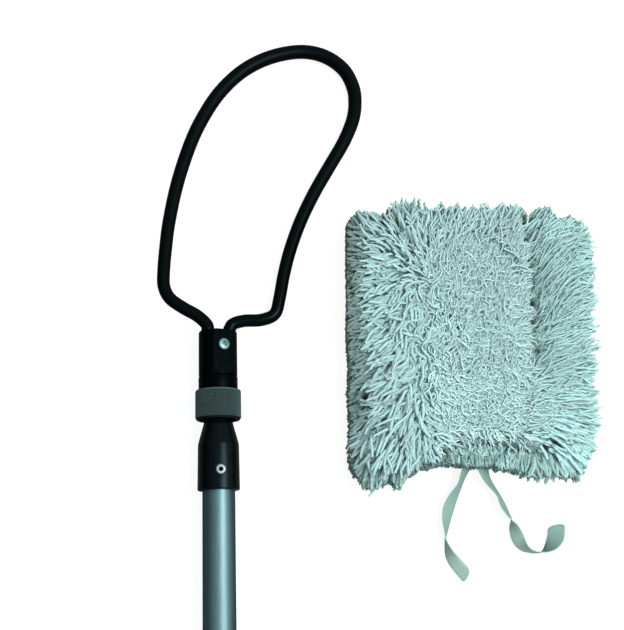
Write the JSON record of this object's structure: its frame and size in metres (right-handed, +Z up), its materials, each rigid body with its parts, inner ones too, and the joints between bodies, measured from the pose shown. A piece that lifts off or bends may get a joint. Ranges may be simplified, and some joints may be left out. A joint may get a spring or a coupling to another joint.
{
  "type": "pipe duster",
  "caption": "Duster pole with a bendable loop head that turns and is locked by a knurled nut, and a shaggy slip-on pocket sleeve with tie tapes lying beside it.",
  "frame": {"origin": "middle of the flat end face at the grip's end of the pole, on the pole's axis", "axes": "+Y along the pole towards the loop, +Z up from the surface that the duster lies on, +X towards the sleeve beside it"},
  "size_m": [0.3439, 1.1336, 0.0388],
  "materials": {
    "aluminium": "satin drawn tube",
    "black_rubber": "matt black moulded rubber",
    "cover_rubber": "satin black dipped cover",
    "black_plastic": "satin black moulding",
    "black_metal": "satin black anodised",
    "knurled_steel": "grey diamond knurl",
    "bright_steel": "bright",
    "fibre": "brown fibre",
    "pile": "shaggy cut pile",
    "tape": "woven twill tape"
  },
  "bodies": {
    "pole": {"pole_tube": "aluminium", "end_cap": "black_rubber", "hand_grip": "black_rubber", "ferrule": "black_plastic", "ferrule_rivet_front": "bright_steel", "ferrule_rivet_rear": "bright_steel", "snap_ring": "bright_steel", "friction_washer": "fibre"},
    "nut_washer": {"thrust_washer": "bright_steel"},
    "lock_nut": {"lock_nut": "knurled_steel"},
    "head": {"swivel_collar": "black_metal", "swivel_bolt": "bright_steel", "loop_socket": "black_metal", "clamp_screw": "bright_steel", "loop_core": "aluminium", "loop_cover": "cover_rubber"},
    "sleeve": {"upper_panel": "pile", "lower_panel": "pile", "left_seam": "tape", "right_seam": "tape", "end_seam": "tape", "upper_hem": "tape", "lower_hem": "tape", "tie_left": "tape", "tie_right": "tape"}
  },
  "joints": [
    {"name": "nut_travel", "type": "slide", "parent": "pole", "child": "nut_washer", "axis": [0, -1, 0], "range_m": [0, 0.0045]},
    {"name": "nut_spin", "type": "hinge", "parent": "nut_washer", "child": "lock_nut", "pos_m": [0, 0.822, 0], "axis": [0, -1, 0], "range_deg": [0, 1080]},
    {"name": "head_swivel", "type": "hinge", "parent": "pole", "child": "head", "pos_m": [0, 0.8286, 0], "axis": [0, 1, 0], "continuous": true},
    {"name": "sleeve_lift", "type": "slide", "parent": "pole", "child": "sleeve", "axis": [0, 0, 1], "range_m": [0, 0.15]}
  ],
  "couplings": [
    {"joint": "nut_spin", "follows": "nut_travel", "rad_per_m": 4188.8}
  ]
}
